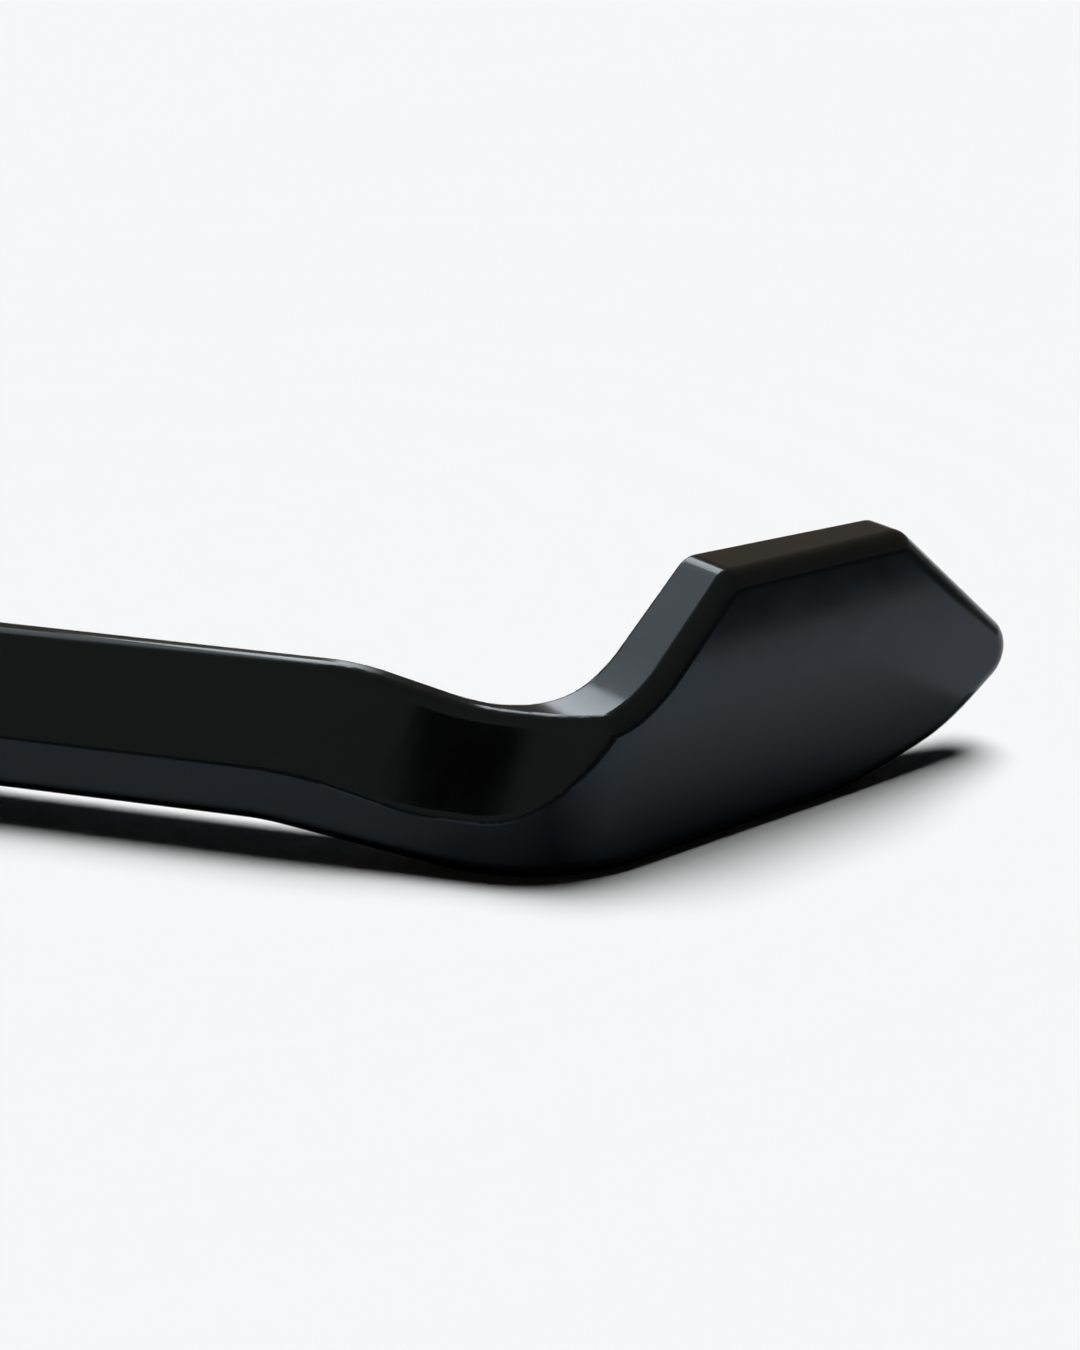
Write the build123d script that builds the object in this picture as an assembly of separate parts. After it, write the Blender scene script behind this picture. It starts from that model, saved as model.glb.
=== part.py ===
from build123d import *
import math
import os

# Brake lever guard for the right-hand end of a motorcycle handlebar: one moulded nylon plate,
# bent in plan, with a bolted eye at the bar's end and a flared paddle in front of the lever.
# +X runs along the bar from its end towards the middle of the machine, -Y is forward, +Z is up.
# The origin is on the bolt's axis, on the face that seats against the bar's end.
# All sizes are in millimetres and all angles in degrees.

# Plate and its path in plan, along the outer (forward) face, between virtual corners
plate_thick = 9.0       # eye and arm
paddle_root_thick = 10.4  # at the bend corner
paddle_tip_thick = 6.2
root_reach = 32.0       # bolt axis to the corner where the arm sets off
arm_len = 88.0          # root corner to bend corner
bend_turn = 55.0        # arm to paddle, which lies parallel to the bar
root_radius = 50.0      # outer face
bend_radius = 21.7      # outer face
bend_hollow = 15.0      # inner face

# Eye and collar at the bar's end
eye_dia = 26.0
eye_blend = 9.0         # hollow corner between eye and arm, seen from the side
collar_dia = 22.0       # as wide as the bar
collar_len = 7.5
bolt_bore_dia = 8.5     # clears an M8 screw
head_bore_dia = 14.5    # clears the screw's head
head_bore_depth = 9.0

# Arm, seen along the bar: it dips to the paddle's foot in a shallow S, above and below
arm_height = 18.8
arm_dip = 3.5
top_dip_start = 5.6     # paddle's back to the lower corner of the S
top_dip_run = 12.0      # between the corners of the S
under_dip_start = 2.4
under_dip_run = 20.2
dip_round = 22.0

# Flat bevel along the upper front of the arm: it runs out where the plate bends away from it
band_height = 7.6       # upright band left below the bevel
bevel_depth = 6.0       # at the arm's top

# Paddle outline, seen from the front, from one virtual corner to the next
keel_len = 45.0         # bend corner to where the keel begins to rise
knee_run = 17.0
knee_rise = 3.8
tip_run = 13.4
tip_rise = 8.6
flank_start = 9.5       # bend corner to the flank's lower corner
flank_angle = 45.0
crown_height = 33.5     # above the keel
crown_len = 28.9
crown_fall = 1.0
foot_round = 18.0
crown_round = 3.2
tip_round = 4.7
knee_round = 30.0
keel_round = 45.0

# Moulded edges
front_round = 2.4       # bevel's crest as well
back_round = 0.8
collar_round = 0.8      # in the corner between collar and plate
collar_bevel = 0.8      # round the seat face
head_bore_bevel = 0.6

# Room that cutting shapes have past the material, and slope past the bevel in its own heights
over = 5.0
bevel_past = 1.5

# Places that follow from the driving dimensions
foot_z = -eye_dia / 2
outer_x = -collar_len - plate_thick
arm_dir = Vector(math.cos(math.radians(bend_turn)), -math.sin(math.radians(bend_turn)), 0)
arm_back = Vector(-arm_dir.Y, arm_dir.X, 0)
root_corner = Vector(outer_x, -root_reach, 0)
bend_corner = root_corner + arm_dir * arm_len
bend_start = bend_corner - arm_dir * (bend_radius * math.tan(math.radians(bend_turn / 2)))
front_y = bend_corner.Y
tip_reach = keel_len + knee_run + tip_run
tip_x = bend_corner.X + tip_reach
arm_end_x = bend_corner.X + keel_len / 2
top_low = foot_z + arm_height

# The plate's two faces in plan, from past the eye to past the tip
eye_end_y = eye_dia / 2 + over
eye_inside = Axis((outer_x + plate_thick, 0, 0), (0, -1, 0))
arm_inside = Axis(root_corner + arm_back * plate_thick, arm_dir)
paddle_inside = Axis(
    (bend_corner.X, front_y + paddle_root_thick, 0),
    (tip_reach, paddle_tip_thick - paddle_root_thick, 0),
)
outer_line = FilletPolyline(
    (outer_x, eye_end_y),
    root_corner,
    bend_corner,
    (tip_x + over, front_y),
    radius=[root_radius, bend_radius],
)
inner_line = FilletPolyline(
    (outer_x + plate_thick, eye_end_y),
    eye_inside.intersect(arm_inside),
    arm_inside.intersect(paddle_inside),
    paddle_inside.intersect(Axis((tip_x + over, 0, 0), (0, 1, 0))),
    radius=[root_radius - plate_thick, bend_hollow],
)


def plan_strip():
    """The bent plate, upright and higher than the finished part."""
    ends = [Line(outer_line @ 0, inner_line @ 0), Line(outer_line @ 1, inner_line @ 1)]
    strip = make_face(outer_line.edges() + inner_line.edges() + ends)
    return extrude(Pos(0, 0, foot_z - over) * strip, crown_height + 2 * over)


def arm_edge(low_z, dip_start, dip_run, back_end):
    """Dipping edge of the arm, seen along the bar, from in front of the paddle."""
    low_y = front_y + paddle_root_thick + dip_start
    high_y, high_z = low_y + dip_run, low_z + arm_dip
    corners = [(front_y - over, low_z), (low_y, low_z), (high_y, high_z), (back_end, high_z)]
    return FilletPolyline(*corners, radius=dip_round)


def side_outline():
    """Eye and dipping arm, seen along the bar."""
    top = arm_edge(top_low, top_dip_start, top_dip_run, 0)
    bottom = arm_edge(foot_z, under_dip_start, under_dip_run, 0)
    ends = [Line(top @ 0, bottom @ 0), Line(top @ 1, bottom @ 1)]
    outline = make_face(top.edges() + bottom.edges() + ends) + Circle(eye_dia / 2)
    hollows = outline.vertices().filter_by(lambda corner: corner.X > -eye_dia)
    return Plane.YZ * fillet(hollows, eye_blend)


def front_outline():
    """Paddle and its foot, seen from the front."""
    keel_end_x = bend_corner.X + keel_len
    flank_x = bend_corner.X + flank_start
    crown_x = flank_x + (crown_height - arm_height) / math.tan(math.radians(flank_angle))
    line = FilletPolyline(
        (bend_start.X, foot_z),
        (keel_end_x, foot_z),
        (keel_end_x + knee_run, foot_z + knee_rise),
        (tip_x, foot_z + knee_rise + tip_rise),
        (crown_x + crown_len, foot_z + crown_height - crown_fall),
        (crown_x, foot_z + crown_height),
        (flank_x, top_low),
        (bend_start.X, top_low),
        radius=[keel_round, knee_round, tip_round, crown_round, crown_round, foot_round],
    )
    return Plane.XZ * make_face(line.edges() + [Line(line @ 1, line @ 0)])


def cut_plate():
    """The bent plate cut to its side and front outlines, with sharp edges and no bevel."""
    side = extrude(Pos(outer_x - over, 0, 0) * side_outline(), arm_end_x - outer_x + over)
    front = extrude(front_outline(), -front_y + over)
    below_arm = Pos(arm_end_x, front_y, foot_z - over) * Box(
        arm_end_x, -front_y, arm_dip + 2 * over, align=(Align.MAX, Align.MIN, Align.MIN)
    )
    return plan_strip() & (side + (front - (below_arm - side)))


def bevel_cut():
    """All that lies in front of the leaning bevel, which dips with the arm's top."""
    lean = Vector(bevel_depth / arm_back.X, 0, arm_height - band_height)
    reach = arm_len + 2 * tip_reach
    # Upright sheet through the bevel's upper edge, onto which the arm's top is carried along the bar
    middle = root_corner + arm_back * bevel_depth
    line = Line(middle - arm_dir * reach, middle + arm_dir * reach)
    sheet = Pos(0, 0, foot_z) * Face.extrude(line.edge(), (0, 0, crown_height))
    side = arm_edge(top_low, top_dip_start, top_dip_run, eye_dia)
    side_edges = (Plane.YZ.offset(-reach) * side).edges()
    top_edges = [edge.project_to_shape(sheet, (1, 0, 0))[0] for edge in side_edges]
    # The slope goes on past the bevel, up and down, and the cut goes on past the plate's front
    past = lean * bevel_past
    slopes = [Face.extrude(edge.translate(-lean - past), lean + past * 2) for edge in top_edges]
    forward = arm_back * -(bevel_depth + plate_thick + over)
    solids = [Solid.extrude(slope, forward) for slope in slopes]
    return solids[0].fuse(*solids[1:])


def faces_on(body, line):
    """Upright faces of a body that follow a plan line."""
    def follows(face):
        middle = face.center()
        return line.distance_to(Vector(middle.X, middle.Y, 0)) < 1e-3

    return body.faces().filter_by(follows)


def leaning_faces(body):
    """Faces of the bevel, which look forward and somewhat up."""
    def leans(face):
        normal = face.normal_at(face.center())
        return normal.Y < -0.2 and 0.02 < normal.Z < 0.8

    return body.faces().filter_by(leans)


def rim(faces):
    """Edges round the outside of a group of faces."""
    edges = [edge for face in faces for edge in face.edges()]
    return ShapeList([edge for edge in edges if edges.count(edge) == 1])


def rounded_plate():
    """The bevelled plate with its moulded edges rounded, broadly in front and slightly behind."""
    body = cut_plate() - bevel_cut()
    outer_edges = faces_on(body, outer_line).edges()
    crest = ShapeList([edge for edge in leaning_faces(body).edges() if edge in outer_edges])
    body = fillet(crest + rim(faces_on(body, outer_line) + leaning_faces(body)), front_round)
    return fillet(rim(faces_on(body, inner_line)), back_round)


def lever_guard():
    """The whole moulding: plate, collar and the stepped bore for the bar-end screw."""
    def circles(body, dia):
        def fits(edge):
            return abs(edge.radius - dia / 2) < 1e-6

        return body.edges().filter_by(GeomType.CIRCLE).filter_by(fits)

    collar_side = (Align.CENTER, Align.CENTER, Align.MAX)
    body = rounded_plate()
    body += Plane.YZ * Cylinder(collar_dia / 2, collar_len + plate_thick / 2, align=collar_side)
    body = fillet(circles(body, collar_dia).sort_by(Axis.X)[0], collar_round)
    body = chamfer(circles(body, collar_dia).sort_by(Axis.X)[-1], collar_bevel)
    body -= Plane.YZ.offset(outer_x) * Cylinder(bolt_bore_dia / 2, 2 * (over - outer_x))
    body -= Plane.YZ.offset(outer_x) * Cylinder(head_bore_dia / 2, 2 * head_bore_depth)
    return chamfer(circles(body, head_bore_dia).sort_by(Axis.X)[0], head_bore_bevel)


os.makedirs("parts", exist_ok=True)
guard = lever_guard()
guard.label = "lever_guard"
export_step(guard, "parts/lever_guard.step")
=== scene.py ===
from math import radians

import bpy
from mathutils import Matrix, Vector


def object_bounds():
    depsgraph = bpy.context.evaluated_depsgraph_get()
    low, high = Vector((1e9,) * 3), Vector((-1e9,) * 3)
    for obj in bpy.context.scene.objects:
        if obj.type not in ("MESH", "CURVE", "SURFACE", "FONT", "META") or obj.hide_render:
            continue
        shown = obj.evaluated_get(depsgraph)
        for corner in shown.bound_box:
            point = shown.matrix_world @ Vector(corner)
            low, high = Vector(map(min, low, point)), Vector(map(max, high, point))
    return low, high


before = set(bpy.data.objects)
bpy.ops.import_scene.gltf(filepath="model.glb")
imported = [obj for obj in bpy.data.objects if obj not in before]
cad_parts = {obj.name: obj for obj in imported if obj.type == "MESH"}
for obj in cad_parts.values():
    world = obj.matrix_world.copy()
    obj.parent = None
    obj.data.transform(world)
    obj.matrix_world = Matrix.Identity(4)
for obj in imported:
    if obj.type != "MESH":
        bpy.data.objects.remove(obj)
cad_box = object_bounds()

# Lever guard: one piece of black nylon, injection moulded in a polished tool.
# The mould leaves soft edges, a smooth skin with a soft gloss, and a faint waviness
# where the thick plate shrank as it cooled.


def linear(hex_code):
    """Linear RGBA from an sRGB hex code."""
    parts = [int(hex_code[at:at + 2], 16) / 255 for at in (1, 3, 5)]
    return tuple(p / 12.92 if p <= 0.04045 else ((p + 0.055) / 1.055) ** 2.4 for p in parts) + (1.0,)


def per_metre(size_mm):
    """Texture scale that repeats about once in a size given in millimetres."""
    return 1000.0 / size_mm


def add_node(tree, kind, inputs=None, **settings):
    """Adds a node, with plain values or links for its inputs."""
    node = tree.nodes.new(kind)
    for name, value in settings.items():
        setattr(node, name, value)
    for name, value in (inputs or {}).items():
        if isinstance(value, bpy.types.NodeSocket):
            tree.links.new(value, node.inputs[name])
        else:
            node.inputs[name].default_value = value
    return node


def new_tree(owner):
    """Empty node tree of a material or a world."""
    owner.use_nodes = True
    owner.node_tree.nodes.clear()
    return owner.node_tree


# Nylon 6 from a polished mould: a black body under a smooth skin, so the eye sees
# little but the reflections, which blur slightly and waver over the thick parts.
nylon = bpy.data.materials.new("moulded_black_nylon")
tree = new_tree(nylon)
place = add_node(tree, "ShaderNodeTexCoord").outputs["Object"]
mottle = add_node(tree, "ShaderNodeTexNoise", {"Vector": place, "Scale": per_metre(14.0), "Detail": 3.0})
skin_colour = add_node(tree, "ShaderNodeMix", {
    "Factor": mottle.outputs["Fac"],
    "A": linear("#030304"),
    "B": linear("#060607"),
}, data_type="RGBA")
polish = add_node(tree, "ShaderNodeTexNoise", {"Vector": place, "Scale": per_metre(5.0), "Detail": 4.0})
gloss = add_node(tree, "ShaderNodeMapRange", {
    "Value": polish.outputs["Fac"],
    "From Min": 0.3,
    "From Max": 0.7,
    "To Min": 0.14,
    "To Max": 0.20,
})
sink = add_node(tree, "ShaderNodeTexNoise", {"Vector": place, "Scale": per_metre(22.0), "Detail": 1.0})
waves = add_node(tree, "ShaderNodeBump", {
    "Height": sink.outputs["Fac"],
    "Strength": 0.15,
    "Distance": 0.0002,
})
# The grain is drawn coarser than a polished mould leaves it, which would be too fine to show
grain = add_node(tree, "ShaderNodeTexNoise", {"Vector": place, "Scale": per_metre(0.35), "Detail": 2.0})
skin = add_node(tree, "ShaderNodeBump", {
    "Height": grain.outputs["Fac"],
    "Strength": 0.08,
    "Distance": 0.00002,
    "Normal": waves.outputs["Normal"],
})
# The specular tint paints the reflections bluish, in place of bluish light from the table.
plastic = add_node(tree, "ShaderNodeBsdfPrincipled", {
    "Base Color": skin_colour.outputs["Result"],
    "Roughness": gloss.outputs["Result"],
    "IOR": 1.5,
    "Specular IOR Level": 0.4,
    "Specular Tint": linear("#D1EBFF"),
    "Normal": skin.outputs["Normal"],
})
add_node(tree, "ShaderNodeOutputMaterial", {"Surface": plastic.outputs["BSDF"]})

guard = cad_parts["lever_guard"]
guard.data.materials.clear()
guard.data.materials.append(nylon)

# Table: a plain sheet of white card, on which the guard lies and throws its shadow.
# The card's face is uncoated and matt. It reaches metres past the guard on every side,
# so its edge shows in low views only.


def add_sheet(name, material, corners, faces):
    """Adds a sheet to the scene."""
    mesh = bpy.data.meshes.new(name)
    mesh.from_pydata(corners, [], faces)
    mesh.materials.append(material)
    sheet = bpy.data.objects.new(name, mesh)
    bpy.context.scene.collection.objects.link(sheet)
    return sheet


white_card = bpy.data.materials.new("matt_white_card")
tree = new_tree(white_card)
surface = add_node(tree, "ShaderNodeBsdfDiffuse", {"Color": linear("#F6F7F8")})
add_node(tree, "ShaderNodeOutputMaterial", {"Surface": surface.outputs["BSDF"]})
table_z = cad_box[0].z
table_reach = 12.0
table_corners = [(x * table_reach, y * table_reach, table_z) for x, y in ((-1, -1), (1, -1), (1, 1), (-1, 1))]
add_sheet("table", white_card, table_corners, [range(4)])

# Studio light: one large soft lamp, high and to the right, lights the table and throws the shadow.
# The gloss doesn't mirror it. It mirrors two small lamps behind the bend, and the dull walls
# of the room, which are lighter to the left. These light nothing else.
studio = bpy.data.worlds.new("studio_room")
bpy.context.scene.world = studio
tree = new_tree(studio)
direction = add_node(tree, "ShaderNodeTexCoord").outputs["Generated"]
across = add_node(tree, "ShaderNodeSeparateXYZ", {"Vector": direction}).outputs["X"]
walls = add_node(tree, "ShaderNodeMapRange", {
    "Value": across,
    "From Min": -0.7,
    "From Max": 0.3,
    "To Min": 0.36,
    "To Max": 0.20,
})
room = add_node(tree, "ShaderNodeBackground", {
    "Color": linear("#FFF0D8"),
    "Strength": walls.outputs["Result"],
})
add_node(tree, "ShaderNodeOutputWorld", {"Surface": room.outputs["Background"]})
studio.cycles_visibility.diffuse = False


def set_up(thing, aim, location):
    """Puts a lamp or a camera in its place, so that it points along a direction."""
    thing.location = location
    thing.rotation_mode = "QUATERNION"
    thing.rotation_quaternion = Vector(aim).to_track_quat("-Z", "Y")
    bpy.context.scene.collection.objects.link(thing)


def add_lamp(name, kind, energy, aim, location=(0.0, 0.0, 0.0)):
    """Adds a lamp that shines along a direction."""
    lamp = bpy.data.objects.new(name, bpy.data.lights.new(name, kind))
    lamp.data.energy = energy
    set_up(lamp, aim, location)
    return lamp


key = add_lamp("soft_key", "SUN", energy=3.40, aim=(-0.32, -0.18, -0.93))
key.data.angle = radians(34.0)
key.visible_glossy = False

small_lamp_height = 0.080
small_lamp_aim = (0.0, -0.72, -0.60)
for name, energy, location, width in (
    ("flank_lamp", 0.041, (0.000, 0.045, 0.138), 0.100),
    ("foot_lamp", 0.110, (0.094, 0.041, 0.127), 0.074),
):
    lamp = add_lamp(name, "AREA", energy, small_lamp_aim, location)
    lamp.data.shape = "RECTANGLE"
    lamp.data.size = width
    lamp.data.size_y = small_lamp_height
    lamp.visible_camera = False
    lamp.visible_diffuse = False

# Painted reflections: dull grey cards that the gloss alone mirrors, so that the black stays deep where they
# are.
# One lies along the guard's front and is darkest at the bend, a painted reflection of the guard's shadow; a
# large dark one covers the table beyond it and paints dark reflections in the front faces, and a small black
# one hangs before the bevel and paints a black patch in it.


def stage_place(x, y, height):
    """A place from millimetres along and across the bar and above the table."""
    return x / 1000, y / 1000, table_z + height / 1000


# Grey of the cards that paint dark reflections, set at each corner
painted_reflection_grey = bpy.data.materials.new("painted_reflection_grey")
tree = new_tree(painted_reflection_grey)
grey = add_node(tree, "ShaderNodeAttribute", attribute_name="grey")
surface = add_node(tree, "ShaderNodeBsdfDiffuse", {"Color": grey.outputs["Fac"]})
add_node(tree, "ShaderNodeOutputMaterial", {"Surface": surface.outputs["BSDF"]})

# Heights and reach in millimetres, and greys from 0, black, to 1, white
lying = 0.2
hung_low = 19
hung_high = 32
outer_reach = 4000
black = 0.0
charcoal = 0.06

# Each card's near and far corners in turn: place, height and the grey there
# front_card paints the guard's shadow into the reflections, outer_card and hung_card paint dark reflections
painted_reflection_cards = {
    "front_card": [
        (-10, -30, lying, 0.55), (-45, -45, lying, 0.55),
        (22, -77, lying, 0.45), (-6, -92, lying, 0.55),
        (30, -88, lying, 0.10), (4, -104, lying, 0.40),
        (36, -100, lying, 0.01), (20, -128, lying, 0.25),
        (50, -103, lying, 0.01), (52, -140, lying, 0.95),
        (112, -103, lying, 0.01), (112, -140, lying, 0.95),
    ],
    "outer_card": [
        (-58, -40, lying, charcoal), (-outer_reach, -40, lying, charcoal),
        (-16, -102, lying, charcoal), (-outer_reach, -outer_reach, lying, charcoal),
        (14, -142, lying, charcoal), (14, -outer_reach, lying, charcoal),
        (70, -152, lying, charcoal), (70, -outer_reach, lying, charcoal),
        (outer_reach, -152, lying, charcoal), (outer_reach, -outer_reach, lying, charcoal),
    ],
    "hung_card": [
        (2, -96, hung_low, black), (10, -94, hung_high, black),
        (5, -104, hung_low, black), (13, -102, hung_high, black),
    ],
}
for name, corners in painted_reflection_cards.items():
    places = [stage_place(x, y, height) for x, y, height, _ in corners]
    faces = [(at, at + 1, at + 3, at + 2) for at in range(0, len(corners) - 2, 2)]
    reflection_card = add_sheet(name, painted_reflection_grey, places, faces)
    greys = reflection_card.data.attributes.new("grey", "FLOAT", "POINT")
    greys.data.foreach_set("value", [corner_grey for _, _, _, corner_grey in corners])
    # Seen in the gloss only: these cards paint dark reflections and shade nothing
    reflection_card.visible_camera = False
    reflection_card.visible_diffuse = False
    reflection_card.visible_shadow = False

# Camera: a long lens, a little above the guard and to its outer side.
camera_data = bpy.data.cameras.new("camera")
camera_data.lens = 81.33
camera_data.sensor_width = 36.0
camera_data.clip_start = 0.01
camera_data.clip_end = 60.0
camera = bpy.data.objects.new("camera", camera_data)
set_up(camera, aim=(0.5786, 0.7277, -0.3683), location=(-0.16696, -0.35109, 0.14010))
bpy.context.scene.camera = camera

bpy.context.scene.view_settings.view_transform = "Standard"
